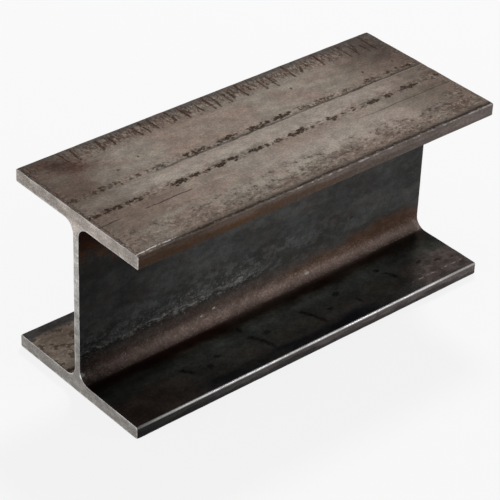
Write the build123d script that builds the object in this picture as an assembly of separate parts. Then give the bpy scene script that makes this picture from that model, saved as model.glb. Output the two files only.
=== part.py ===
from build123d import *
import os

# A short sawn length of hot-rolled wide-flange steel beam, lying on its lower flange.
# It is rolled as one piece: two parallel flanges, a web between them, root fillets where
# they meet, and slightly rounded flange toes. Both ends are sawn square.
# Frame: X runs along the beam, Y across its flanges and Z up.
# The origin is the middle of the underside, on the floor.

# Driving dimensions, in millimetres
beam_length = 478.0
section_depth = 221.0
flange_width = 200.0
flange_thickness = 15.4
web_thickness = 9.2
root_radius = 14.0
toe_radius = 2.0

# A rounded toe can't take more than this share of the flange's thickness
largest_toe_share = 0.49

# Sizes that follow from them
half_depth = section_depth / 2
half_width = flange_width / 2
half_web = web_thickness / 2
inner_height = half_depth - flange_thickness
toe_rounding = min(toe_radius, flange_thickness * largest_toe_share)


def quarter_outline():
    """One quarter of the outline, from the top of the section to the middle of its web.

    Its own X is across the flanges and its Y is up, with zero at the section's centre.
    """
    toe_x = half_width - toe_rounding
    root_x = half_web + root_radius
    root_y = inner_height - root_radius
    with BuildLine() as outline:
        Line((0, half_depth), (toe_x, half_depth))
        RadiusArc((toe_x, half_depth), (half_width, half_depth - toe_rounding), toe_rounding)
        Line((half_width, half_depth - toe_rounding), (half_width, inner_height + toe_rounding))
        RadiusArc((half_width, inner_height + toe_rounding), (toe_x, inner_height), toe_rounding)
        Line((toe_x, inner_height), (root_x, inner_height))
        RadiusArc((root_x, inner_height), (half_web, root_y), -root_radius)
        Line((half_web, root_y), (half_web, 0))
    return outline.line


def beam_section():
    """The whole section as one face, from one quarter mirrored both ways."""
    with BuildSketch() as section:
        with BuildLine():
            quarter = add(quarter_outline())
            half = quarter + mirror(quarter, about=Plane.XZ)
            mirror(half, about=Plane.YZ)
        make_face()
    return section.sketch


def wide_flange_beam():
    """The section rolled out along X, with its underside on the floor."""
    section_plane = Plane(
        origin=(-beam_length / 2, 0, half_depth),
        x_dir=(0, 1, 0),
        z_dir=(1, 0, 0),
    )
    beam = extrude(section_plane * beam_section(), amount=beam_length)
    beam.label = "wide_flange_beam"
    return beam


os.makedirs("parts", exist_ok=True)
export_step(wide_flange_beam(), "parts/wide_flange_beam.step")
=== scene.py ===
import math
from functools import partialmethod
from types import SimpleNamespace

import bpy
import numpy as np
from mathutils import Matrix, Vector
from mathutils.geometry import delaunay_2d_cdt


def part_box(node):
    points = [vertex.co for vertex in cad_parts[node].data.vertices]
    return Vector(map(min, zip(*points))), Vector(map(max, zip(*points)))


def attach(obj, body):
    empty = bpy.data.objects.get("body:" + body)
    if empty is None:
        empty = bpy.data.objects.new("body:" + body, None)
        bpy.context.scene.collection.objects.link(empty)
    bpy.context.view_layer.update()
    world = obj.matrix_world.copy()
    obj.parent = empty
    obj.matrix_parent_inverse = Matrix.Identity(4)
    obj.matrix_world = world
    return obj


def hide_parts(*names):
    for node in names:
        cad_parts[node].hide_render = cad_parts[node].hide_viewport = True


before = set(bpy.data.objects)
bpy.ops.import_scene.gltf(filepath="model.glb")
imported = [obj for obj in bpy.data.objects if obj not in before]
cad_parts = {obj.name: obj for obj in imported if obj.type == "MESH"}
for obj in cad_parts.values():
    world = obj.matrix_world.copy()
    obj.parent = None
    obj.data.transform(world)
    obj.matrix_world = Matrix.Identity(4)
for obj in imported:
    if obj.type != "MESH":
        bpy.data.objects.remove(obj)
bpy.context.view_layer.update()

# A sawn length of rolled wide-flange beam on a pale floor. X runs along it, from the near end to
# the far end, +Y points to its back and Z up. Lengths are in metres.

NODE = "wide_flange_beam"
MM = 0.001
low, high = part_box(NODE)
LENGTH = high.x - low.x
NEAR_END = low.x
FAR_END = high.x
MID_HEIGHT = (low.z + high.z) / 2
HALF_DEPTH = (high.z - low.z) / 2
HALF_WIDTH = (high.y - low.y) / 2

# The rest of the rolled section, as the solid has it
FLANGE = 15.4 * MM
HALF_WEB = 9.2 * MM / 2
ROOT = 14 * MM
TOE = 2 * MM
INNER = HALF_DEPTH - FLANGE
ROOT_END = HALF_WEB + ROOT

# How finely the surface is divided
STATIONS = 160
FINE_STEP = 1.3 * MM
TOP_STEP = 2.1 * MM
UNDER_STEP = 5.5 * MM
TOE_STEP = 2.4 * MM
INNER_STEP = 3.4 * MM
WEB_STEP = 3.8 * MM
END_STEP = 2.4 * MM
END_JITTER = 0.15
END_STATIONS = np.array([0, 0.3, 1.2, 2.4]) * MM
FIRST_INSIDE = 4.8 * MM
TOE_TURNS = 4
ROOT_TURNS = 9
SHARP_EDGE = math.radians(40)

# Zones of the outline, and the materials of the faces
OUTER, TOE_FACE, INNER_FACE, ROOT_FACE, WEB_FACE = range(5)
WEATHERED, DARK, SAWN = range(3)

# Marks, in millimetres: along the beam from its near end, and across it from the middle, towards
# the back. Each tick on the top is its place, then where it starts and ends counted from the back
# edge, and how far it slants.
TICKS = (
    (49, 6, 25, 0), (62, 4, 27, -1), (93, 4, 25, 0), (109, 6, 24, -1), (140, 8, 26, 1),
    (151, 4, 26, 0), (162, 5, 25, 0), (186, 3, 24, 1), (202, 1, 26, 0), (206, 14, 21, 2),
    (221, 11, 26, 1), (235, 3, 30, 0), (245, 2, 30, -2), (259, 9, 29, -1), (267, 9, 24, -2),
    (281, 2, 29, -1), (290, 12, 22, 0), (307, 12, 31, -1), (312, 16, 24, 0), (320, 9, 33, 0),
    (348, 2, 29, -1), (365, 14, 26, -5), (374, 7, 19, -2), (393, 2, 29, -3), (427, 2, 32, -1),
    (438, 14, 34, -1), (443, 13, 27, -3), (451, 18, 35, 0), (461, 2, 35, -1),
)
# Pits in two rows along the top: start, end and strength of each group. The top is divided most
# finely within the two pairs of places across it.
FINE_PLACES = (-26, -10, 9, 25)
PIT_SPACING = 1.1
PIT_SCATTER = 1.7
BACK_ROW = 16.0
BACK_PITS = (
    (3, 11, 0.9), (13, 15, 0.6), (34, 38, 0.8), (42, 50, 0.75), (52, 68, 0.75), (88, 91, 0.8),
    (108, 120, 0.65), (150, 157, 1), (161, 180, 0.9), (186, 199, 0.75), (201, 219, 0.9),
    (234, 263, 0.95), (268, 292, 1), (304, 317, 0.7), (330, 352, 0.7), (362, 377, 0.6),
    (397, 418, 0.7), (433, 437, 1), (446, 448, 0.6), (455, 465, 0.8),
)
FRONT_ROW = -18.5
FRONT_PITS = (
    (1, 5, 0.8), (9, 15, 1), (20, 40, 1), (49, 55, 0.9), (60, 68, 0.95), (101, 123, 1),
    (128, 141, 1), (145, 153, 0.7), (161, 176, 1), (180, 191, 1), (206, 223, 1), (228, 235, 0.8),
    (241, 249, 0.8), (259, 283, 1), (290, 292, 0.6), (312, 325, 0.95), (335, 337, 0.7),
    (349, 352, 0.8), (362, 366, 0.7), (371, 385, 1), (394, 404, 1), (420, 445, 1), (468, 475, 0.8),
)
# Lone dots on the top, and the middle of a flange's inner face
DOTS = ((111, 44), (79, 35), (8, 85), (34, 82), (38, 80), (455, 33), (412, 34), (326, 54))
FLANGE_MIDDLE = 58
# Scratches and spots on the front of the lower flange: places along and across, then how wide,
# or how long and how wide. Each scratch bows a little to one side.
SCRATCH_BOW = 2.5
INNER_SCRATCHES = (
    ((89, -51), (102, -69), 4.4), ((185, -50), (199, -85), 4.6),
    ((259, -50), (271, -84), 4.6), ((379, -50), (389, -72), 3.4),
)
INNER_SPOTS = (
    ((186, -35), 3.2, 5), ((207, -57), 5, 4.2), ((122, -66), 4.4, 3.6),
    ((139, -57), 4, 2.8), ((290, -66), 3.8, 3.2), ((313, -49), 5, 3.8),
    ((378, -43), 3.8, 2.8), ((326, -74), 2, 6), ((428, -60), 4.2, 3),
    ((448, -69), 4.6, 2.2),
)
# Bright chips along the lower root, painted as glints: place along, height above the flange and size
ROOT_GLINT_CHIPS = ((1, 8.5, 4), (57, 9.5, 1.2), (160, 12, 1.5), (177, 15.5, 2.4), (308, 6.5, 2.4))
# Lines along the top and the flanges' inner faces, by their place across them
SEAM = 10.7
SCRIBED_LINE = -37.0
FRONT_LINE = -96.4
BURR_LINE = -94.5
DASHED_LINE = -84.5
SCRAPED_LINE = 78
# A pale line on the web, by its height at the near end and its slope
WEB_LINE_START = 34 * MM
WEB_LINE_SLOPE = 0.012
# A painted glint on the sawn ends, in millimetres: its place across and up, and its size
GLINT_PLACE = (-6.4, -88)
GLINT_SIZE = 3

# Relief of the mesh, all of it inwards: depths, and how far the worn rim reaches
PIT_DEPTH = 0.45 * MM
WAVE_DEPTH = 0.18 * MM
WORN_TOE = 0.35 * MM
RIM = 0.3 * MM
RIM_REACH = 3 * MM
# Finer relief, in the materials alone
SCALE_RELIEF = 0.22 * MM
SAW_RELIEF = 0.15 * MM


# Smooth noise for the mesh, the same on every run

def cell_value(cell, seed):
    """A value from 0 to 1 for each whole-number cell, from a small integer hash."""
    x, y, z = (cell[..., axis].astype(np.int64) for axis in range(3))
    mixed = (x * 374761393 + y * 668265263 + z * 2147483647 + seed * 1274126177) & 0xFFFFFFFF
    mixed = ((mixed ^ (mixed >> 13)) * 1274126177) & 0xFFFFFFFF
    return ((mixed ^ (mixed >> 16)) & 0xFFFF) / 0xFFFF


def smooth_noise(points, size, seed):
    """Noise from 0 to 1 at the points, with lumps of the given size along X, Y and Z."""
    place = points / np.asarray(size, float)
    cell = np.floor(place)
    part = place - cell
    part = part * part * (3 - 2 * part)
    total = np.zeros(len(points))
    for corner in np.ndindex(2, 2, 2):
        weight = np.prod(np.where(corner, part, 1 - part), axis=1)
        total += weight * cell_value(cell + np.array(corner), seed)
    return total


def layered_noise(points, size, seed, layers=3):
    """Smooth noise with finer layers on top, still from 0 to 1."""
    total = np.zeros(len(points))
    reach = 0
    for layer in range(layers):
        total += smooth_noise(points, np.asarray(size) / 2**layer, seed + 31 * layer) / 2**layer
        reach += 1 / 2**layer
    return total / reach


def ease(value, start, end):
    """0 at start, 1 at end and smooth between them."""
    t = np.clip((value - start) / (end - start), 0, 1)
    return t * t * (3 - 2 * t)


# The outline of the section

def steps(start, end, step):
    """Evenly spaced values from start towards end, without the end itself."""
    count = max(1, round(abs(end - start) / step))
    return np.linspace(start, end, count + 1)[:-1]


def arc(centre, radius, start, end, turns):
    """Points and outward normals along an arc, without its end."""
    for angle in steps(start, end, abs(end - start) / turns):
        across, up = math.cos(angle), math.sin(angle)
        yield centre[0] + radius * across, centre[1] + radius * up, across, up


def quarter():
    """A quarter of the outline, from the edge of the outer face to the middle of the web.

    Rows of place across and up, normal across and up, and zone.
    """
    rows = []
    toe_start = HALF_WIDTH - TOE
    top_corner = (toe_start, HALF_DEPTH - TOE)
    low_corner = (toe_start, INNER + TOE)
    rows += [(*p, TOE_FACE) for p in arc(top_corner, TOE, math.pi / 2, 0, TOE_TURNS)]
    rows += [(HALF_WIDTH, z, 1, 0, TOE_FACE) for z in steps(top_corner[1], low_corner[1], TOE_STEP)]
    rows += [(*p, TOE_FACE) for p in arc(low_corner, TOE, 0, -math.pi / 2, TOE_TURNS)]
    rows += [(y, INNER, 0, -1, INNER_FACE) for y in steps(toe_start, ROOT_END, INNER_STEP)]
    hollow = arc((ROOT_END, INNER - ROOT), ROOT, math.pi / 2, math.pi, ROOT_TURNS)
    rows += [(y, z, -across, -up, ROOT_FACE) for y, z, across, up in hollow]
    rows += [(HALF_WEB, z, 1, 0, WEB_FACE) for z in steps(INNER - ROOT, 0, WEB_STEP)]
    rows.append((HALF_WEB, 0, 1, 0, WEB_FACE))
    return np.array(rows, float)


def outline():
    """The outline without the upper face, from its back edge round to its front edge."""
    def placed(across, up):
        return quarter() * np.array([across, up, across, up, 1])

    edge = HALF_WIDTH - TOE
    under = [(y, -HALF_DEPTH, 0, -1, OUTER) for y in steps(edge, -edge, UNDER_STEP)[1:]]
    lower_back, upper_front = placed(1, -1)[::-1], placed(-1, 1)[::-1]
    return np.vstack([placed(1, 1)[:-1], lower_back, under, placed(-1, -1)[:-1], upper_front])


def top_rows():
    """Places across the upper face, from front to back, closest at the rows of pits."""
    edge = (HALF_WIDTH - TOE) / MM
    places = (-edge, *FINE_PLACES, edge)
    widths = (TOP_STEP, FINE_STEP, TOP_STEP, FINE_STEP, TOP_STEP)
    rows = [steps(a * MM, b * MM, w) for a, b, w in zip(places, places[1:], widths)]
    return np.concatenate(rows)[1:]


def station_places():
    """Places along the beam, in metres from its near end, closer at its two ends."""
    inside = np.linspace(FIRST_INSIDE, LENGTH - FIRST_INSIDE, STATIONS)
    return np.concatenate([END_STATIONS, inside, LENGTH - END_STATIONS[::-1]])


# Marks: pits and ticks, as a field from 0 to 1

def spot(along, across, place, length, width):
    """A soft oval spot, 1 at its middle. All in millimetres."""
    return np.exp(-((along - place[0]) / length) ** 2 - ((across - place[1]) / width) ** 2)


def pit_row(along, across, groups, line, seed):
    """Irregular pits along a line, in the given groups."""
    rng = np.random.default_rng(seed)
    field = np.zeros(len(along))
    for start, end, strength in groups:
        for _ in range(max(3, round((end - start) / PIT_SPACING))):
            place = (rng.uniform(start, end), line + rng.normal(0, PIT_SCATTER))
            length, width = rng.uniform(1.3, 3.2), rng.uniform(1.1, 2.0)
            pit = strength * rng.uniform(0.6, 1.0) * spot(along, across, place, length, width)
            field = np.maximum(field, pit)
    return field


def tick(along, across, place, start, end, slant, rng):
    """One ragged tick from the back edge, with a darker foot."""
    from_back = HALF_WIDTH / MM - across
    part = np.clip((from_back - start) / (end - start), 0, 1)
    bends = rng.uniform(-0.8, 0.8, 5)
    strengths = rng.uniform(0.55, 1.05, 6)
    middle = place + slant * part + np.interp(part, np.linspace(0, 1, 5), bends)
    strength = np.interp(part, np.linspace(0, 1, 6), strengths)
    reach = ease(from_back, start - 2, start + 2) * (1 - ease(from_back, end - 2, end + 1.5))
    line = np.exp(-((along - middle) / rng.uniform(0.9, 1.4)) ** 2) * strength * reach
    foot_place = (place + slant + bends[-1], HALF_WIDTH / MM - end + 1)
    return np.maximum(line, 0.9 * spot(along, across, foot_place, 1.3, 2.2))


def top_marks(along, across):
    """The marks of the upper face: rows of pits, ticks along the back edge and lone dots."""
    field = pit_row(along, across, BACK_PITS, BACK_ROW, 11)
    field = np.maximum(field, pit_row(along, across, FRONT_PITS, FRONT_ROW, 23))
    rng = np.random.default_rng(29)
    for place in TICKS:
        field = np.maximum(field, tick(along, across, *place, rng))
    for place in DOTS:
        field = np.maximum(field, 0.9 * spot(along, across, place, 1.3, 1.5))
    return field


def scattered(along, across, reach, count, seed):
    """Lone pits scattered over a face of the given reach across."""
    rng = np.random.default_rng(seed)
    field = np.zeros(len(along))
    for _ in range(count):
        place = (rng.uniform(6, LENGTH / MM - 6), rng.uniform(-reach, reach))
        size = rng.uniform(1.4, 2.6)
        pit = rng.uniform(0.4, 0.9) * spot(along, across, place, size * 1.4, size)
        field = np.maximum(field, pit)
    return field


def mark_field(points, zone):
    """The marks at every point of the rolled skin."""
    along = (points[:, 0] - NEAR_END) / MM
    across = points[:, 1] / MM
    up = (points[:, 2] - MID_HEIGHT) / MM
    field = np.zeros(len(points))
    top = (zone == OUTER) & (up > 0)
    under = (zone == OUTER) & (up < 0)
    field[top] = top_marks(along[top], across[top])
    field[under] = scattered(along[under], across[under], reach=95, count=80, seed=41)
    for number, side in enumerate((-1, 1)):
        web = (zone == WEB_FACE) & (across * side > 0)
        field[web] = scattered(along[web], up[web], reach=75, count=26, seed=51 + number)
        for height in (-1, 1):
            inner = (zone == INNER_FACE) & (across * side > 0) & (up * height > 0)
            from_middle = across[inner] - side * FLANGE_MIDDLE
            seed = 61 + 2 * number + (height > 0)
            field[inner] = scattered(along[inner], from_middle, reach=36, count=22, seed=seed)
    return field


# The dressed mesh

def inside_section(y, z, clear):
    """Whether a place across and up lies in the section, that far from its outline."""
    y, z = abs(y), abs(z)
    if z > HALF_DEPTH - clear or y > HALF_WIDTH - clear:
        return False
    if z > INNER + clear or y < HALF_WEB - clear:
        return True
    gap = math.hypot(ROOT_END - y, INNER - ROOT - z)
    return y < ROOT_END and z > INNER - ROOT and gap > ROOT + clear


def end_points(rng):
    """Slightly uneven points over a sawn end, inside its outline."""
    found = []
    for y in steps(-HALF_WIDTH + END_STEP / 2, HALF_WIDTH, END_STEP):
        for z in steps(-HALF_DEPTH + END_STEP / 2, HALF_DEPTH, END_STEP):
            place = np.array([y, z]) + rng.uniform(-END_JITTER, END_JITTER, 2) * END_STEP
            if inside_section(*place, END_STEP / 2):
                found.append(Vector((place[0], MID_HEIGHT + place[1])))
    return found


INSIDE_ONLY = 1
SAME_PLACE = 1e-7


def cap(points, loop, outward, vertices, faces, rng):
    """Closes one end: triangles between the loop of vertices and points inside it."""
    ring = [Vector(points[i][1:]) for i in loop]
    count = len(loop)
    edges = [(i, (i + 1) % count) for i in range(count)]
    result = delaunay_2d_cdt(ring + end_points(rng), edges, [], INSIDE_ONLY, SAME_PLACE)
    places, triangles, sources = result[0], result[2], result[3]
    names = []
    for place, source in zip(places, sources):
        on_ring = [i for i in source if i < count]
        names.append(loop[on_ring[0]] if on_ring else len(vertices))
        if not on_ring:
            vertices.append((points[loop[0]][0], place.x, place.y))
    for triangle in triangles:
        a, b, c = (places[i] for i in triangle)
        turn = (b - a).cross(c - a) * outward
        corners = [names[i] for i in triangle]
        faces.append(corners if turn > 0 else corners[::-1])


def grid_faces(index):
    """Four-sided faces of a grid of vertices: the first axis along the beam, the second round it."""
    here, ahead = index[:-1], index[1:]
    quads = np.stack([here[:, :-1], ahead[:, :-1], ahead[:, 1:], here[:, 1:]], -1)
    return quads.reshape(-1, 4).tolist()


def seam_faces(coarse, fine, turned):
    """Triangles between an edge and one with twice as many steps."""
    faces = []
    for i in range(len(coarse) - 1):
        a, b = coarse[i], coarse[i + 1]
        p, q, r = fine[2 * i:2 * i + 3]
        for face in ((a, b, q), (a, q, p), (b, r, q)):
            faces.append(face[::-1] if turned else face)
    return faces


def grid_points(along, rows):
    """Points over a grid: places along the beam, and rows of place across and up."""
    points = np.empty((len(along), len(rows), 3))
    points[..., 0] = along[:, None]
    points[..., 1:] = rows
    return points.reshape(-1, 3)


def skin_points():
    """Places, outward normals and zones over the rolled skin, and the vertices of its two grids.

    The upper face comes last and is divided twice as finely along the beam.
    """
    along, ring, rows = station_places(), outline(), top_rows()
    finer = np.interp(np.arange(2 * len(along) - 1) / 2, np.arange(len(along)), along)
    top = np.column_stack([rows, np.full(len(rows), HALF_DEPTH)])
    points = np.vstack([grid_points(along, ring[:, :2]), grid_points(finer, top)])
    points += (NEAR_END, 0, MID_HEIGHT)
    count = len(along) * len(ring)
    normals = np.zeros_like(points)
    normals[:, 2] = 1
    normals[:count, 1:] = np.tile(ring[:, 2:4], (len(along), 1))
    zone = np.full(len(points), OUTER)
    zone[:count] = np.tile(ring[:, 4], len(along))
    index = np.arange(count).reshape(len(along), len(ring))
    top_index = np.arange(count, len(points)).reshape(len(finer), len(rows))
    return points, normals, zone, index, top_index


def relief(points, zone, marks):
    """How far each point of the skin lies under the plain form."""
    waves = layered_noise(points, (0.11, 0.021, 0.021), 5)
    worn = (zone == TOE_FACE) * layered_noise(points, (0.012, 0.01, 0.01), 9)
    to_end = np.minimum(points[:, 0] - NEAR_END, FAR_END - points[:, 0])
    ripple = layered_noise(points, (1, 0.012, 0.012), 17)
    rim = (1 - ease(to_end, 0, RIM_REACH)) * (0.5 + 2.4 * np.clip(ripple - 0.35, 0, 1))
    return PIT_DEPTH * marks + WAVE_DEPTH * waves + WORN_TOE * worn + RIM * rim


def dressed_mesh():
    """The whole beam as one closed mesh: relief on the rolled skin and a worn rim at the ends."""
    points, normals, zone, index, top_index = skin_points()
    marks = mark_field(points, zone)
    points -= normals * relief(points, zone, marks)[:, None]
    faces = grid_faces(index)
    channel = np.isin(zone[index[:-1, :-1]], (INNER_FACE, ROOT_FACE, WEB_FACE)).ravel()
    faces += grid_faces(top_index)
    faces += seam_faces(index[:, -1], top_index[:, 0], False)
    faces += seam_faces(index[:, 0], top_index[:, -1], True)
    skin = len(faces)
    vertices = points.tolist()
    rng = np.random.default_rng(3)
    for row, outward in ((0, -1), (-1, 1)):
        cap(points, [*index[row].tolist(), *top_index[row].tolist()], outward, vertices, faces, rng)

    mesh = bpy.data.meshes.new("dressed_beam")
    mesh.from_pydata(vertices, [], faces)
    slots = np.full(len(faces), WEATHERED, np.int32)
    slots[:len(channel)][channel] = DARK
    slots[skin:] = SAWN
    mesh.polygons.foreach_set("material_index", slots)
    rim = np.zeros(len(vertices))
    rim[index[[0, -1]]] = 1
    rim[top_index[[0, -1]]] = 1
    add_attribute(mesh, "rim", rim)
    add_attribute(mesh, "mark", np.append(marks, np.zeros(len(vertices) - len(marks))))
    mesh.shade_smooth()
    mesh.set_sharp_from_angle(angle=SHARP_EDGE)
    return mesh


def add_attribute(mesh, name, values):
    """A number for each vertex, which the materials read."""
    attribute = mesh.attributes.new(name, "FLOAT", "POINT")
    attribute.data.foreach_set("value", np.asarray(values, np.float32))


# Materials. Below, s is the shader of one, and n holds its noises and the places they bend.

class Shader:
    """Short calls for the nodes of one material."""

    def __init__(self, name):
        self.material = bpy.data.materials.new(name)
        self.material.use_nodes = True
        self.tree = self.material.node_tree
        self.surface = self.tree.nodes["Principled BSDF"]
        self.place = self.node("ShaderNodeTexCoord").outputs["Object"]
        split = self.node("ShaderNodeSeparateXYZ")
        self.tree.links.new(self.place, split.inputs[0])
        x, self.y, z = split.outputs
        self.along = self.math("SUBTRACT", x, NEAR_END)
        self.up = self.math("SUBTRACT", z, MID_HEIGHT)

    def node(self, kind, **settings):
        made = self.tree.nodes.new(kind)
        for name, value in settings.items():
            setattr(made, name, value)
        return made

    def put(self, value, socket):
        """Links a socket to another, or sets its value."""
        if isinstance(value, bpy.types.NodeSocket):
            self.tree.links.new(value, socket)
        elif socket.type == "RGBA":
            socket.default_value = (*value, 1)
        else:
            socket.default_value = value

    def fill(self, made, **numbers):
        """Sets a node's inputs, named with a line for each space."""
        for name, number in numbers.items():
            made.inputs[name.replace("_", " ")].default_value = number

    def math(self, operation, a, b=0.0):
        made = self.node("ShaderNodeMath", operation=operation)
        self.put(a, made.inputs[0])
        self.put(b, made.inputs[1])
        return made.outputs[0]

    def chain(self, operation, total, *values):
        """All the values joined by one operation."""
        for value in values:
            total = self.math(operation, total, value)
        return total

    times = partialmethod(chain, "MULTIPLY")
    most = partialmethod(chain, "MAXIMUM")
    add = partialmethod(chain, "ADD")
    less = partialmethod(chain, "SUBTRACT")
    above = partialmethod(chain, "GREATER_THAN")
    below = partialmethod(chain, "LESS_THAN")

    def swing(self, value, amount):
        """A value from 0 to 1 turned into one that swings about 1 by the amount."""
        return self.add(self.times(value, 2 * amount), 1 - amount)

    def jitter(self, value, amount):
        """A value from 0 to 1 turned into one that swings about 0 by the amount."""
        return self.add(self.times(value, 2 * amount), -amount)

    def stray(self, value, amount):
        """The same, by an amount in millimetres."""
        return self.jitter(value, amount * MM)

    def fade(self, value, start, end, low=0.0, high=1.0):
        """low up to start, high from end and smooth between them; start may be the larger."""
        made = self.node("ShaderNodeMapRange", interpolation_type="SMOOTHSTEP")
        if start > end:
            start, end, low, high = end, start, high, low
        self.put(value, made.inputs["Value"])
        self.fill(made, From_Min=start, From_Max=end, To_Min=low, To_Max=high)
        return made.outputs["Result"]

    def span(self, value, start, end, low=0.0, high=1.0):
        """A fade between two places in millimetres."""
        return self.fade(value, start * MM, end * MM, low, high)

    def past(self, start, end, low=0.0, high=1.0):
        """A fade between two places along the beam, in millimetres."""
        return self.span(self.along, start, end, low, high)

    def band(self, value, middle, half, soft):
        """1 within half of the middle, with soft edges, all in millimetres."""
        gap = self.math("ABSOLUTE", self.less(value, middle * MM))
        return self.span(gap, half + soft / 2, half - soft / 2)

    def noise(self, size, seed, detail=4.0, rough=0.6, warp=0.0, start=0.36, end=0.64):
        """Noise from 0 to 1, with lumps of the given size in millimetres along X, Y and Z."""
        scale = self.node("ShaderNodeVectorMath", operation="MULTIPLY")
        self.put(self.place, scale.inputs[0])
        scale.inputs[1].default_value = [1 / (s * MM) for s in size]
        shift = self.node("ShaderNodeVectorMath", operation="ADD")
        self.put(scale.outputs[0], shift.inputs[0])
        shift.inputs[1].default_value = (3.7 * seed, 5.3 * seed, 1.9 * seed)
        made = self.node("ShaderNodeTexNoise")
        self.put(shift.outputs[0], made.inputs["Vector"])
        self.fill(made, Scale=1, Detail=detail, Roughness=rough, Distortion=warp)
        return self.fade(made.outputs["Fac"], start, end)

    def noises(self, **settings):
        """Several noises, each under its name."""
        return SimpleNamespace(**{name: self.noise(*numbers) for name, numbers in settings.items()})

    def attribute(self, name):
        return self.node("ShaderNodeAttribute", attribute_name=name).outputs["Fac"]

    def mix(self, factor, a, b):
        made = self.node("ShaderNodeMix", data_type="RGBA")
        self.put(factor, made.inputs["Factor"])
        self.put(a, made.inputs[6])
        self.put(b, made.inputs[7])
        return made.outputs[2]

    def mix_value(self, factor, a, b):
        made = self.node("ShaderNodeMix", data_type="FLOAT")
        self.put(factor, made.inputs["Factor"])
        self.put(a, made.inputs[2])
        self.put(b, made.inputs[3])
        return made.outputs[0]

    def coat(self, color, paint, *amounts):
        """The colour with another laid over it, as far as all the amounts say."""
        return self.mix(self.times(*amounts), color, paint)

    def shade(self, color, *amounts):
        """The colour made darker or lighter by factors."""
        made = self.node("ShaderNodeVectorMath", operation="SCALE")
        self.put(color, made.inputs[0])
        self.put(self.times(*amounts), made.inputs["Scale"])
        return made.outputs[0]

    def ramp(self, value, start, end, stops):
        """A colour by place: pairs of place in millimetres from start to end, and colour."""
        made = self.node("ShaderNodeValToRGB")
        part = self.node("ShaderNodeMapRange")
        self.put(value, part.inputs["Value"])
        self.fill(part, From_Min=start * MM, From_Max=end * MM)
        self.put(part.outputs["Result"], made.inputs[0])
        elements = made.color_ramp.elements
        while len(elements) < len(stops):
            elements.new(0.5)
        for element, (place, color) in zip(elements, stops):
            element.position = (place - start) / (end - start)
            element.color = (*color, 1)
        return made.outputs[0]

    def finish(self, color, rough, height, distance, strength):
        """Gives the surface its colour, roughness and fine relief."""
        bump = self.node("ShaderNodeBump")
        self.fill(bump, Strength=strength, Distance=distance)
        self.put(height, bump.inputs["Height"])
        self.put(color, self.surface.inputs["Base Color"])
        self.put(rough, self.surface.inputs["Roughness"])
        self.put(bump.outputs[0], self.surface.inputs["Normal"])
        return self.material


# Colours in linear light: first the outer faces, then the edges, the recess and the inner faces
BROWN = (0.224, 0.168, 0.136)
GREY_GREEN = (0.228, 0.196, 0.161)
PALE = (0.309, 0.271, 0.232)
DARK_BROWN = (0.07, 0.044, 0.031)
CORNER_BROWN = (0.045, 0.032, 0.027)
SAND_BROWN = (0.048, 0.032, 0.024)
TICK_BROWN = (0.038, 0.02, 0.013)
RED_RUST = (0.066, 0.03, 0.022)
PIT_COLOR = (0.02, 0.012, 0.007)
BLUE_GREY = (0.06, 0.058, 0.055)
SEAM_COLOR = (0.06, 0.053, 0.039)
FLECK_COLOR = (0.03, 0.019, 0.013)
PALE_FLECK = (0.34, 0.285, 0.235)
WORN_STEEL = (0.59, 0.58, 0.58)
TOE_RUST = (0.112, 0.058, 0.03)
WEB_DARK = (0.068, 0.065, 0.063)
WEB_LIGHT = (0.099, 0.098, 0.095)
WEB_GREEN = (0.061, 0.072, 0.07)
WEB_WARM = (0.088, 0.07, 0.064)
ROOT_RED = (0.11, 0.062, 0.058)
ROOT_SAND = (0.42, 0.36, 0.33)
ORANGE_RUST = (0.14, 0.078, 0.05)
CRACKLE_GREY = (0.17, 0.175, 0.17)
SPECK_GREY = (0.3, 0.3, 0.29)
LINE_GREY = (0.42, 0.42, 0.4)
GLINT_CHIP_COLOR = (0.62, 0.58, 0.52)
EDGE_DARK_REFLECTION = (0.007, 0.007, 0.01)
NEAR_RED = (0.092, 0.06, 0.052)
INNER_BROWN = (0.044, 0.04, 0.033)
RED_BLACK = (0.012, 0.002, 0.001)
GREEN_BLACK = (0.01, 0.011, 0.009)
BROWN_BLACK = (0.01, 0.008, 0.006)
SCRATCH_BLACK = (0.006, 0.005, 0.004)
FAR_DARK = (0.06, 0.046, 0.041)
FAR_LIGHT = (0.086, 0.066, 0.06)
DASH_COLOR = (0.26, 0.23, 0.21)
BACK_BROWN = (0.15, 0.111, 0.087)
BACK_LIGHT = (0.184, 0.15, 0.12)
GLINT_COLOR = (0.95, 0.95, 0.94)

# Colours by place in millimetres: along the edges, above the flange, across the inner faces and
# up the sawn ends
TOE_BROWNS = (
    (20, (0.108, 0.07, 0.051)), (200, (0.166, 0.127, 0.107)), (460, (0.205, 0.168, 0.154)),
)
TOE_DARKS = (
    (10, (0.025, 0.024, 0.023)), (120, (0.092, 0.086, 0.083)), (300, (0.16, 0.138, 0.132)),
)
# Up the root: rust-brown with a painted highlight, brightest about 7 mm above the flange
ROOT_RUST_AND_HIGHLIGHT = (
    (7, (0.275, 0.196, 0.168)), (11.5, (0.2, 0.142, 0.12)),
    (16, (0.13, 0.094, 0.078)), (26, (0.095, 0.076, 0.065)),
    (36, (0.075, 0.07, 0.066)),
)
BURNT_RUST = (
    (10, (0.105, 0.03, 0.012)), (28, (0.17, 0.056, 0.024)), (42, (0.225, 0.1, 0.046)),
)
INNER_DARKS = (
    (14, (0.08, 0.054, 0.044)), (17.5, (0.034, 0.017, 0.012)),
    (20.5, (0.014, 0.004, 0.002)), (26, (0.013, 0.006, 0.003)),
    (33, (0.035, 0.034, 0.029)), (45, (0.06, 0.066, 0.06)),
    (56, (0.046, 0.046, 0.041)), (76, (0.044, 0.039, 0.034)),
    (87, (0.04, 0.036, 0.035)),
)
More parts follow.
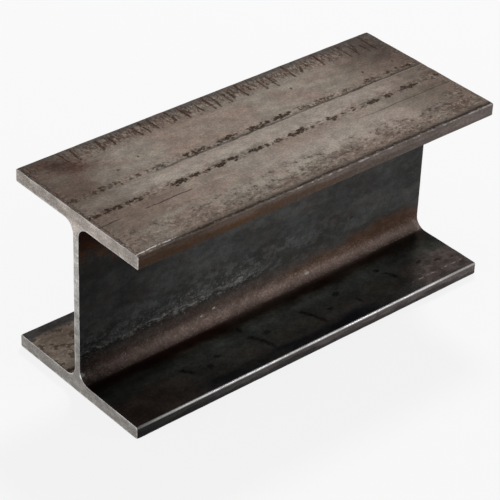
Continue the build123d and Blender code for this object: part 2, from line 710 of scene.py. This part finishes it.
SAWN_GREYS = (
    (-85, (0.232, 0.214, 0.197)), (-70, (0.25, 0.234, 0.214)),
    (-50, (0.258, 0.244, 0.225)), (-20, (0.3, 0.288, 0.266)),
    (10, (0.43, 0.416, 0.392)), (66, (0.53, 0.508, 0.48)),
    (86, (0.41, 0.367, 0.335)), (98, (0.3, 0.26, 0.23)),
)


def top_scale(s, n):
    """Brown and grey-green scale, palest along the middle and towards the far front."""
    color = s.mix(n.patch, BROWN, GREY_GREEN)
    middle = s.times(s.band(n.across, -2, 10.5, 5), 0.55)
    far = s.times(s.band(s.along, 300, 100, 120), s.band(n.across, -52, 16, 26), 0.65)
    return s.mix(s.most(middle, far), color, PALE)


def top_borders(s, n, color):
    """Darker borders towards the ends and the long edges, blue-grey at the very back."""
    along = s.add(s.along, s.stray(n.patch, 16))
    near = s.times(s.span(along, 120, 15, 0, 0.8), s.span(s.y, -50, 40, 0.65, 1))
    far = s.span(along, LENGTH / MM - 130, LENGTH / MM - 10, 0, 0.9)
    far = s.times(far, s.span(s.y, -50, 60, 0.75, 1))
    back = s.span(n.across, 64, 84, 0, 0.66)
    front = s.span(n.across, -66, -88, 0, 0.5)
    color = s.mix(s.most(near, far, back, front), color, DARK_BROWN)
    return s.coat(color, BLUE_GREY, s.span(n.across, 89, 96), 0.8)


def back_fringe(s, n, color):
    """A dark, streaky fringe along the back edge, between the ticks."""
    streaks = s.noise((2.8, 6.2, 10), 43, 5, 0.75, 0.5, 0, 1)
    reach = s.span(s.add(s.y, s.stray(n.clump, 7)), 70, 82)
    reach = s.times(reach, s.span(s.y, 99, 93, 0.5, 1))
    color = s.coat(color, TICK_BROWN, s.fade(streaks, 0.48, 0.6), reach, 0.85)
    reach = s.times(s.band(s.y, 82, 9, 10), s.past(50, 100))
    return s.coat(color, PALE_FLECK, s.fade(streaks, 0.46, 0.36), reach, 0.45)


def rust_stain(s, n):
    """A slanted stain by the near back corner: its course along, and how much of it there is."""
    course = s.add(s.along, s.times(s.add(s.y, -74 * MM), 0.7), s.stray(n.blot, 4))
    stain = s.times(s.band(course, 39, 15, 26), s.band(s.y, 75, 18, 28))
    return course, s.times(stain, s.swing(n.cloud, 0.2))


def top_stains(s, n, color, course, stain):
    """The stain with its dark core, a fainter one at the far front, and the dark far corner."""
    far = s.times(s.band(s.along, 445, 14, 20), s.band(s.y, -80, 10, 12))
    color = s.mix(s.most(stain, s.times(far, 0.45)), color, RED_RUST)
    core = s.times(s.band(course, 41, 6, 14), s.band(s.y, 80, 7, 14))
    color = s.coat(color, FLECK_COLOR, core, s.swing(n.blot, 0.25), 0.8)
    corner = s.times(s.past(372, 462), s.span(s.y, 26, 72))
    return s.coat(color, CORNER_BROWN, corner, 0.78)


def top_flecks(s, n, color, stain):
    """Flecks along the rows of pits, at the ends and in the stain."""
    rows = s.most(s.band(s.y, BACK_ROW + 0.5, 4.2, 6), s.band(s.y, FRONT_ROW, 5, 7))
    ends = s.most(s.past(16, 6), s.past(LENGTH / MM - 24, LENGTH / MM - 6))
    weight = s.times(s.most(rows, s.times(ends, 0.5), 0.12), s.add(s.times(n.clump, 0.7), 0.3))
    color = s.coat(color, PALE_FLECK, s.fade(n.specks, 0.46, 0.36), weight, 0.35)
    weight = s.most(weight, s.times(stain, 0.85))
    return s.coat(color, FLECK_COLOR, s.fade(n.specks, 0.5, 0.62), weight, 0.9)


def front_sand(s, n, color):
    """Sandy mottling along the front edge, behind it a row of dark flecks."""
    reach = s.add(s.y, s.stray(n.cloud, 14))
    sand = s.times(s.span(reach, -58, -78), s.past(20, 160, 0.45, 1))
    sand = s.times(sand, s.swing(n.clump, 0.3), s.fade(n.mottle, 0.5, 0.68))
    color = s.coat(color, SAND_BROWN, sand, 0.75)
    pale = s.times(s.fade(n.mottle, 0.46, 0.34), s.span(reach, -50, -68))
    color = s.coat(color, PALE_FLECK, pale, 0.45)
    row = s.band(s.add(s.y, s.stray(n.cloud, 8)), -71, 2, 7)
    return s.coat(color, FLECK_COLOR, row, s.fade(n.mottle, 0.47, 0.6), 0.7)


def seam(s, n):
    """The seam behind the middle: how much of it there is, and of its dark core."""
    ragged = s.add(n.waver, s.stray(n.blot, 0.8))
    soft = s.times(s.band(ragged, SEAM, 1.7, 2.2), s.past(90, 140))
    soft = s.times(soft, s.swing(n.broken, 0.3))
    return soft, s.times(s.band(ragged, SEAM, 0.3, 1.2), soft, s.fade(n.broken, 0.3, 0.7))


def thin_lines(s, n):
    """Dark lines: before the middle, ragged along the front edge and across the near end."""
    part = s.most(s.past(122, 112), s.past(330, 360, 0, 0.6))
    scribed = s.times(s.band(n.waver, SCRIBED_LINE, 0.7, 1.4), part, s.fade(n.broken, 0.1, 0.4))
    ragged = s.add(n.waver, s.stray(n.mottle, 4))
    front = s.times(s.band(ragged, FRONT_LINE, 1.9, 2.8), s.swing(n.broken, 0.1))
    front = s.most(front, s.times(s.span(ragged, -89, -96), 0.5))
    front = s.times(front, s.past(10, 60, 0.4, 1))
    near = s.band(s.add(s.along, s.stray(n.clump, 1.4)), 2.8, 0.7, 1.4)
    return s.most(s.times(scribed, 0.95), front, s.times(near, s.swing(n.blot, 0.3), 0.7))


def top_lines(s, n, color):
    """All the lines, with their pale parts, and a bright burr where the front edge starts."""
    soft_seam, seam_core = seam(s, n)
    color = s.coat(color, SEAM_COLOR, soft_seam, 0.92)
    below = s.band(n.waver, SEAM - 2.2, 0.5, 1.2)
    color = s.coat(color, PALE_FLECK, below, s.past(120, 180), 0.45)
    scribed = s.band(n.waver, SCRIBED_LINE, 0.6, 1.4)
    color = s.coat(color, PALE_FLECK, scribed, s.band(s.along, 140, 18, 20), 0.55)
    color = s.mix(s.most(s.times(seam_core, 0.55), thin_lines(s, n)), color, PIT_COLOR)
    burr = s.times(s.band(n.waver, BURR_LINE, 0.6, 1.2), s.past(55, 40))
    return s.coat(color, WORN_STEEL, burr, s.fade(n.specks, 0.35, 0.5))


def top_pits(s, color, mark, raw_mark):
    """Pits and ticks. The pits are fainter far along and at the near start of the back row."""
    color = s.mix(s.fade(raw_mark, 0.04, 0.45, 0, 0.5), color, DARK_BROWN)
    on_tick = s.span(s.y, 50, 60)
    row = s.most(s.span(s.y, 0, -10), s.past(80, 140, 0.65, 0.94))
    pit = s.times(s.past(280, 340, 0.94, 0.8), row)
    deep = s.mix(on_tick, PIT_COLOR, TICK_BROWN)
    return s.coat(color, deep, mark, s.mix_value(on_tick, pit, 0.82))


def top_color(s, mark, raw_mark):
    """The outer faces, layer over layer."""
    n = s.noises(
        patch=((60, 36, 30), 1, 5, 0.6, 0.4, 0.4, 0.62),
        cloud=((21, 14, 20), 2, 5, 0.65), blot=((8.5, 6.8, 8), 3, 4, 0.65),
        clump=((15, 7, 10), 9, 4, 0.65), broken=((40, 500, 500), 7, 3),
        specks=((4, 3, 3), 6, 4, 0.65, 0.2, 0, 1),
        mottle=((5.2, 4, 4), 44, 5, 0.75, 0.3, 0, 1),
        grain=((2.4, 2, 2), 5, 2, 0.7, 0, 0.3, 0.7), bend=((30, 500, 500), 8, 2))
    n.across = s.add(s.y, s.stray(n.cloud, 6))
    n.waver = s.add(s.y, s.stray(n.bend, 0.6))
    course, stain = rust_stain(s, n)
    color = top_borders(s, n, top_scale(s, n))
    color = back_fringe(s, n, color)
    color = top_stains(s, n, color, course, stain)
    color = top_flecks(s, n, color, stain)
    color = front_sand(s, n, color)
    color = top_lines(s, n, color)
    color = top_pits(s, color, mark, raw_mark)
    return s.shade(color, s.swing(n.cloud, 0.14), s.swing(n.blot, 0.09), s.swing(n.grain, 0.2))


def toe_color(s, level):
    """The flanges' edges, by the height on them: rust-brown near, greyer far, darker below."""
    cloud = s.noise((30, 10, 6), 12, 4)
    grain = s.noise((3.5, 2, 2.2), 13, 3)
    upper = s.above(s.up, 0)
    ragged = s.add(level, s.stray(cloud, 2))
    dark, brown = (s.ramp(s.along, 0, LENGTH / MM, stops) for stops in (TOE_DARKS, TOE_BROWNS))
    color = s.mix(upper, dark, brown)
    rust = s.times(s.span(ragged, 12, 7), upper, s.past(400, 120))
    color = s.coat(color, TOE_RUST, rust, s.swing(cloud, 0.3), 0.85)
    low = s.mix_value(s.span(ragged, 5, 9.5), s.mix_value(upper, 0.46, 0.86), 1)
    near = s.past(20, 160, 0.7, 1)
    return s.shade(color, low, near, s.swing(cloud, 0.16), s.swing(grain, 0.16))


def worn_and_highlit_corner(s, level):
    """Where the flanges' upper corners are worn to bare steel, shaped and faded as a painted
    highlight.
    """
    spread = s.noise((35, 20, 500), 14, 4)
    chips = s.noise((7, 4, 500), 19, 4, 0.65)
    lower = s.times(s.past(0, 60, 0.35, 1), s.past(380, 460, 1, 0.6))
    lower = s.times(lower, s.span(level, 11.9, 13.9), s.swing(spread, 0.15))
    upper = s.times(s.past(100, 240), s.fade(chips, 0.5, 0.9), 0.42)
    upper = s.times(upper, s.span(level, 13.6, 14.4))
    return s.mix_value(s.above(s.up, 0), lower, upper)


def weathered_scale():
    """Brown, pitted scale of the outer faces and the flanges' edges."""
    s = Shader("weathered_scale")
    raw_mark = s.attribute("mark")
    ragged = s.noise((2.4, 1.6, 2), 30, 3, 0.6)
    mark = s.times(s.fade(s.add(raw_mark, s.jitter(ragged, 0.24)), 0.24, 0.56), 0.94)
    on_toe = s.fade(s.math("ABSOLUTE", s.y), HALF_WIDTH - TOE, HALF_WIDTH - 0.55 * TOE)
    level = s.add(s.up, HALF_DEPTH, s.times(s.above(s.up, 0), -(INNER + HALF_DEPTH)))
    # Worn bare steel on the upper corners, laid out as a painted highlight
    worn = s.times(worn_and_highlit_corner(s, level), on_toe)
    color = s.mix(on_toe, top_color(s, mark, raw_mark), toe_color(s, level))
    color = s.mix(worn, color, WORN_STEEL)
    s.put(s.times(worn, 0.9), s.surface.inputs["Metallic"])
    s.fill(s.surface, Specular_IOR_Level=0.1)
    grain = s.noise((2, 1.6, 1.8), 31, 3, 0.7)
    flake = s.noise((16, 9, 12), 32, 5, 0.6)
    rough = s.add(s.times(flake, 0.16), 0.62, s.times(mark, 0.3))
    rough = s.less(rough, s.times(worn, 0.24))
    height = s.add(s.times(grain, 0.5), s.times(flake, 0.7), s.times(mark, -0.8))
    height = s.times(height, s.less(1, s.times(on_toe, 0.6)))
    return s.finish(color, rough, height, SCALE_RELIEF, 0.8)


def root_and_web(s, n, rise):
    """Rust and a painted highlight in the root; blue-black with green and warm patches on the web.
    """
    # Painted shade: the root's painted highlight fades towards the flange and the near end, more at
    # the back
    hollow = s.span(s.math("ABSOLUTE", s.y), 6, 19, 1, 0.07)
    near = s.span(s.add(s.along, s.stray(n.blot, 8)), 4, 36, 0.55, 1)
    near_back = s.times(s.past(130, 60), s.above(s.y, 0), 0.5)
    root = s.ramp(rise, 0, 40, ROOT_RUST_AND_HIGHLIGHT)
    root = s.shade(root, hollow, near, s.less(1, near_back))
    web = s.mix(n.cloud, WEB_DARK, WEB_LIGHT)
    web = s.coat(web, WEB_GREEN, n.tint, 0.42)
    web = s.coat(web, WEB_WARM, n.warm, 0.45)
    return s.mix(s.span(s.add(rise, s.stray(n.cloud, 8)), 20, 42), root, web)


def recess_rust(s, n, rise, color):
    """Red then orange rust along the lower root, and burnt rust in the upper near corner."""
    red = s.times(s.band(rise, 18, 8, 12), s.past(240, 80), n.tint, n.lower)
    color = s.coat(color, ROOT_RED, red, 0.6)
    reach = s.past(140, 460, 14 * MM, 38 * MM)
    rust = s.span(s.less(reach, s.add(rise, s.stray(n.cloud, 6))), 0, 20)
    rust = s.times(rust, s.span(rise, 5, 14), s.past(130, 300), n.lower)
    color = s.coat(color, ORANGE_RUST, rust, 0.85)
    corner = s.span(s.add(rise, s.stray(n.tint, 10)), 56, 34)
    corner = s.times(corner, s.past(85, 30), s.above(s.up, 0), s.swing(n.blot, 0.3))
    burnt = s.ramp(s.add(rise, s.stray(n.cloud, 4)), 0, 60, BURNT_RUST)
    return s.coat(color, burnt, corner, 0.85)


def web_line(s, n, rise, color):
    """A pale, ragged line low on the web, near the near end, with specks about it."""
    over = s.less(rise, s.add(s.times(s.along, WEB_LINE_SLOPE), WEB_LINE_START))
    reach = s.times(s.past(260, 210), n.lower)
    ragged = s.add(over, s.stray(n.blot, 3))
    color = s.coat(color, PIT_COLOR, s.band(ragged, -6.5, 2.5, 6), reach, 0.5)
    crackle = s.times(s.band(over, 10, 18, 30), s.fade(n.blot, 0.45, 0.95))
    color = s.coat(color, CRACKLE_GREY, crackle, s.past(400, 260), n.lower, 0.35)
    specks = s.times(s.band(over, 3, 14, 26), s.fade(n.grain, 0.66, 1))
    color = s.coat(color, SPECK_GREY, specks, s.fade(n.chips, 0.3, 0.8), reach, 0.6)
    line = s.times(s.band(ragged, 0, 1.6, 4), s.add(s.times(n.chips, 0.95), 0.05))
    return s.coat(color, LINE_GREY, line, s.swing(n.tint, 0.3), reach, 0.78)


def root_glint_chips(s, rise):
    """Small bright chips on the front of the roots, painted as glints."""
    along = s.add(s.along, s.stray(s.noise((3, 3, 3), 50, 4), 1.2))
    chips = [soft_spot(s, along, rise, (x, z), size, size * 0.6) for x, z, size in ROOT_GLINT_CHIPS]
    return s.times(s.most(*chips), s.below(s.y, 0))


def recess_color(s, rise):
    """The roots and the web, layer over layer, by the height above the flange."""
    n = s.noises(
        cloud=((60, 34, 28), 15, 5), tint=((34, 20, 20), 45, 4, 0.6),
        blot=((10, 10, 7), 16, 5, 0.65), grain=((2.6, 2.2, 2.2), 17, 3, 0.7),
        chips=((6, 3.5, 3.6), 18, 4, 0.65),
        warm=((28, 20, 18), 47, 4, 0.6, 0, 0.5, 0.66))
    n.lower = s.below(s.up, 0)
    color = recess_rust(s, n, rise, root_and_web(s, n, rise))
    color = web_line(s, n, rise, color)
    sand = s.times(s.band(rise, 8, 8, 10), s.fade(n.grain, 0.75, 1))
    color = s.coat(color, ROOT_SAND, sand, 0.35)
    # Painted glints on the lower root
    color = s.coat(color, GLINT_CHIP_COLOR, root_glint_chips(s, rise), n.lower)
    return s.shade(color, s.swing(n.cloud, 0.1), s.swing(n.blot, 0.16), s.swing(n.grain, 0.13))


def dark_scratch(s, along, across, start, end, width):
    """A bowed dark line on a flat face, between two places and of a width in millimetres."""
    size = math.dist(start, end)
    run = ((end[0] - start[0]) / size, (end[1] - start[1]) / size)
    x, y = s.less(along, start[0] * MM), s.less(across, start[1] * MM)
    forward = s.add(s.times(x, run[0]), s.times(y, run[1]))
    aside = s.add(s.times(x, -run[1]), s.times(y, run[0]))
    bow = s.times(s.math("POWER", s.less(forward, size / 2 * MM), 2), 4 * SCRATCH_BOW / size**2 / MM)
    line = s.band(s.add(aside, bow), SCRATCH_BOW, width / 2, width)
    return s.times(line, s.span(forward, 0, 2), s.span(forward, size, size - 6))


def soft_spot(s, along, across, place, length, width, rim=1.6, core=0.2):
    """A soft oval spot on a face, in millimetres. It fades between its rim and its core."""
    x = s.times(s.less(along, place[0] * MM), 1 / (length * MM))
    y = s.times(s.less(across, place[1] * MM), 1 / (width * MM))
    return s.fade(s.add(s.times(x, x), s.times(y, y)), rim, core)


def inner_marks(s, ragged):
    """Scratches and spots on the front of the lower flange."""
    along = s.add(s.along, s.stray(s.noise((6, 5, 5), 48, 5, 0.7), 1.3))
    across = s.add(s.y, s.stray(s.noise((5, 5, 5), 49, 5, 0.7), 1.5))
    marks = [dark_scratch(s, along, across, *line) for line in INNER_SCRATCHES]
    marks += [soft_spot(s, along, across, *place) for place in INNER_SPOTS]
    return s.times(s.most(*marks), s.swing(ragged, 0.35), s.below(s.up, 0))


def inner_bands(s, n, color):
    """Painted dark reflection by the edge, black by the roots, red near, lighter at the far front,
    and dashes.
    """
    # Painted dark reflection along the inner face's edge by the toe
    edge = s.times(s.past(60, 130), s.past(360, 300))
    color = s.coat(color, EDGE_DARK_REFLECTION, edge, s.span(n.across, 80, 90), 0.96)
    red = s.times(s.past(110, 40), s.span(n.across, 45, 70))
    color = s.coat(color, NEAR_RED, red, s.below(s.y, 0), 0.8)
    color = s.coat(color, INNER_BROWN, n.tint, 0.35)
    beside = s.times(s.span(n.straight, 32, 24), s.span(n.straight, 13, 17))
    color = s.coat(color, RED_BLACK, s.past(220, 120), beside, 0.7)
    beside = s.times(s.span(n.straight, 52, 38), s.span(n.straight, 24, 30))
    color = s.coat(color, GREEN_BLACK, s.past(120, 50), beside, 0.45)
    patch = s.times(s.past(385, 425), s.span(n.across, 40, 70))
    color = s.coat(color, s.mix(n.blot, FAR_DARK, FAR_LIGHT), patch, s.below(s.y, 0), 0.9)
    beside = s.times(s.span(n.across, 66, 30), s.past(370, 430))
    color = s.coat(color, BROWN_BLACK, beside, 0.65)
    dashes = s.times(s.band(s.y, DASHED_LINE, 0.7, 1.4), s.fade(n.chips, 0.35, 0.7))
    return s.coat(color, DASH_COLOR, dashes, s.past(390, 400), 0.8)


def lower_back(s, n, color):
    """The back of the lower flange, brown like the top."""
    brown = s.mix(n.cloud, BACK_BROWN, BACK_LIGHT)
    brown = s.coat(brown, PIT_COLOR, s.fade(n.blot, 0.75, 0.9), 0.7)
    scrape = s.band(s.add(s.y, s.stray(n.blot, 2)), SCRAPED_LINE, 0.6, 1.6)
    brown = s.coat(brown, PALE_FLECK, scrape, s.fade(n.chips, 0.2, 0.6), 0.5)
    brown = s.shade(brown, s.span(n.straight, 18, 40, 0.55, 1))
    outer = s.span(s.add(n.straight, s.stray(n.blot, 2)), 89, 80)
    back = s.times(s.above(s.y, 0), s.below(s.up, 0))
    return s.coat(color, brown, back, s.span(n.straight, 17, 23), outer)


def inner_color(s):
    """The flanges' inner faces: near-black, a little lighter and greener along their middle."""
    n = s.noises(
        cloud=((36, 22, 20), 20, 5), tint=((70, 40, 20), 46, 3, 0.5),
        blot=((10, 8, 10), 21, 4), fine=((3.6, 3, 3), 22, 3),
        chips=((4, 2, 3), 24, 2))
    n.straight = s.math("ABSOLUTE", s.y)
    wander = s.times(s.stray(n.cloud, 3.5), s.span(n.straight, 22, 40, 0.3, 1))
    n.across = s.add(n.straight, wander)
    color = inner_bands(s, n, s.ramp(n.across, 10, 100, INNER_DARKS))
    color = s.coat(color, SCRATCH_BLACK, inner_marks(s, n.fine), 0.78)
    color = lower_back(s, n, color)
    return s.shade(color, 1.04, s.swing(n.cloud, 0.18), s.swing(n.blot, 0.16), s.swing(n.fine, 0.14))


def dark_scale():
    """Dark mill scale of the web, the roots and the flanges' inner faces, with painted shade."""
    s = Shader("dark_scale")
    rise = s.less(INNER, s.math("ABSOLUTE", s.up))
    color = s.mix(s.span(rise, 0.9, 0.2), recess_color(s, rise), inner_color(s))
    # Painted shade: darker high under the upper flange, and towards the near end on the front
    upper = s.span(s.up, 45, 85, 1, 0.6)
    at_back = s.times(s.above(s.y, HALF_WEB / 2), 0.85)
    near = s.most(s.past(0, 180, 0.3, 1), at_back)
    color = s.shade(color, upper, near, s.past(340, 460, 1, 0.75))
    ragged = s.noise((2.6, 2, 2), 33, 3, 0.6)
    mark = s.fade(s.add(s.attribute("mark"), s.jitter(ragged, 0.25)), 0.35, 0.65)
    color = s.coat(color, PIT_COLOR, mark, 0.6)
    s.fill(s.surface, Specular_IOR_Level=0.04)
    grain = s.noise((2.2, 1.8, 2), 34, 3, 0.7)
    flake = s.noise((22, 11, 12), 35, 5, 0.6)
    rough = s.add(s.times(flake, 0.16), s.span(rise, 4, 0.5, 0, 0.22), 0.48)
    height = s.add(s.times(grain, 0.5), s.times(flake, 0.8), s.times(mark, -0.8))
    return s.finish(color, rough, height, SCALE_RELIEF, 0.8)


def sawn_color(s, marks, cloud, grain):
    """Bare steel, brightest high on the web, in the middle of the upper flange and at the foot."""
    middle = s.span(s.math("ABSOLUTE", s.add(s.y, 18 * MM)), 60, 20, 0.96, 1.28)
    flange = s.mix_value(s.span(s.up, 80, 95), 1, middle)
    foot = s.times(s.span(s.math("ABSOLUTE", s.y), 24, 8), s.span(s.up, -75, -90), 0.12)
    color = s.ramp(s.up, -HALF_DEPTH / MM, HALF_DEPTH / MM, SAWN_GREYS)
    middle = s.add(flange, foot)
    return s.shade(color, middle, s.swing(cloud, 0.24), s.swing(marks, 0.08), s.swing(grain, 0.22))


def sawn_rim(s, cloud):
    """The rim: a worn burr with a painted edge highlight, brightest at the front toes and along the
    lower flange's upper face.
    """
    rim = s.fade(s.add(s.attribute("rim"), s.jitter(cloud, 0.3)), 0.15, 0.85)
    bright = s.most(s.span(s.y, -98, -99.4), s.band(s.up, -INNER / MM, 3, 6))
    return s.times(rim, s.mix_value(bright, 0.6, 1))


def sawn_steel():
    """The sawn ends: bare steel with fine saw marks, a brighter rim with a painted edge highlight,
    and a painted glint.
    """
    s = Shader("sawn_steel")
    marks = s.noise((500, 60, 1.3), 40, 3)
    cloud = s.noise((500, 16, 9), 41, 4)
    grain = s.noise((500, 2.4, 2.2), 42, 3, 0.7)
    # Worn burr and painted edge highlight along the rim
    color = s.mix(sawn_rim(s, cloud), sawn_color(s, marks, cloud, grain), WORN_STEEL)
    # A painted glint near the foot of the lower root
    glint = soft_spot(s, s.y, s.up, GLINT_PLACE, GLINT_SIZE, GLINT_SIZE, 1.2, 0.3)
    color = s.mix(glint, color, GLINT_COLOR)
    s.fill(s.surface, Metallic=0.3)
    rough = s.add(s.times(cloud, 0.2), 0.45)
    return s.finish(color, rough, s.add(marks, s.times(grain, 0.5)), SAW_RELIEF, 0.7)


def beam():
    """The beam, with its three materials in the order of their numbers."""
    made = bpy.data.objects.new("steel_beam", dressed_mesh())
    bpy.context.scene.collection.objects.link(made)
    for material in (weathered_scale(), dark_scale(), sawn_steel()):
        made.data.materials.append(material)
    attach(made, "root")
    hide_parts(NODE)


# Floor, light and camera

FLOOR_SIZE = 30.0
FLOOR_COLOR = (0.9, 0.9, 0.9)
FLOOR_BOUNCE = (0.45, 0.45, 0.45)
FLOOR_WHITE = 0.90
WHITE = 0.942
WORLD_LIGHT = 0.3
# Name, azimuth and elevation in degrees, distance and size in metres, and power in watts
LAMPS = (
    ("key", 43, 50, 4.0, 0.7, 118),
    ("side", 176, 8, 3.0, 1.2, 40),
    ("front", -54, 18, 3.0, 1.0, 22),
)
AIM = Vector((-0.0161, -0.0066, 0.0874))
VIEW_AZIMUTH = 48.311
VIEW_ELEVATION = 34.082
VIEW_ROLL = 2.384
VIEW_DISTANCE = 2.2766
LENS = 154.60
SENSOR = 36.0


def floor():
    """A pale floor that keeps the beam's shadow."""
    mesh = bpy.data.meshes.new("floor")
    half = FLOOR_SIZE / 2
    corners = [(-half, -half, 0), (half, -half, 0), (half, half, 0), (-half, half, 0)]
    mesh.from_pydata(corners, [], [(0, 1, 2, 3)])
    made = bpy.data.objects.new("floor", mesh)
    bpy.context.scene.collection.objects.link(made)
    s = Shader("pale_floor")
    path = s.node("ShaderNodeLightPath")
    seen = s.most(*(path.outputs[f"Is {kind} Ray"] for kind in ("Camera", "Glossy", "Transmission")))
    diffuse = s.node("ShaderNodeBsdfDiffuse")
    s.put(s.mix(seen, FLOOR_BOUNCE, FLOOR_COLOR), diffuse.inputs["Color"])
    white = s.node("ShaderNodeEmission")
    s.fill(white, Strength=WHITE)
    blend = s.node("ShaderNodeMixShader")
    s.put(s.times(seen, FLOOR_WHITE), blend.inputs[0])
    s.put(diffuse.outputs[0], blend.inputs[1])
    s.put(white.outputs[0], blend.inputs[2])
    s.put(blend.outputs[0], s.tree.nodes["Material Output"].inputs["Surface"])
    mesh.materials.append(s.material)


def sky():
    """An even white studio, brighter where the camera and the gloss see it."""
    world = bpy.data.worlds.new("studio")
    bpy.context.scene.world = world
    world.use_nodes = True
    tree = world.node_tree
    path = tree.nodes.new("ShaderNodeLightPath")
    level = tree.nodes.new("ShaderNodeMapRange")
    level.inputs["To Min"].default_value = WORLD_LIGHT
    level.inputs["To Max"].default_value = WHITE
    tree.links.new(path.outputs["Is Camera Ray"], level.inputs["Value"])
    background = tree.nodes["Background"]
    background.inputs["Color"].default_value = (1, 1, 1, 1)
    tree.links.new(level.outputs["Result"], background.inputs["Strength"])


def toward(azimuth, elevation):
    """A direction: azimuth from +X towards +Y, and elevation, both in degrees."""
    a, e = math.radians(azimuth), math.radians(elevation)
    return Vector((math.cos(a) * math.cos(e), math.sin(a) * math.cos(e), math.sin(e)))


def lamp(name, direction, distance, size, power):
    """A round soft lamp that faces the middle of the beam."""
    light = bpy.data.lights.new(name, "AREA")
    light.shape = "DISK"
    light.size = size
    light.energy = power
    made = bpy.data.objects.new(name, light)
    made.location = Vector((0, 0, MID_HEIGHT)) + direction * distance
    made.rotation_euler = direction.to_track_quat("Z", "Y").to_euler()
    bpy.context.scene.collection.objects.link(made)


def lights():
    """All the lamps."""
    for name, azimuth, elevation, distance, size, power in LAMPS:
        lamp(name, toward(azimuth, elevation), distance, size, power)


def camera():
    """The photo's view."""
    data = bpy.data.cameras.new("camera")
    data.sensor_width = SENSOR
    data.lens = LENS
    made = bpy.data.objects.new("camera", data)
    bpy.context.scene.collection.objects.link(made)
    back = -toward(VIEW_AZIMUTH, -VIEW_ELEVATION)
    turn = back.to_track_quat("Z", "Y").to_matrix().to_4x4()
    roll = Matrix.Rotation(math.radians(VIEW_ROLL), 4, "Z")
    made.matrix_world = Matrix.Translation(AIM + back * VIEW_DISTANCE) @ turn @ roll
    bpy.context.scene.camera = made


beam()
floor()
sky()
lights()
camera()
bpy.context.scene.view_settings.view_transform = "Standard"
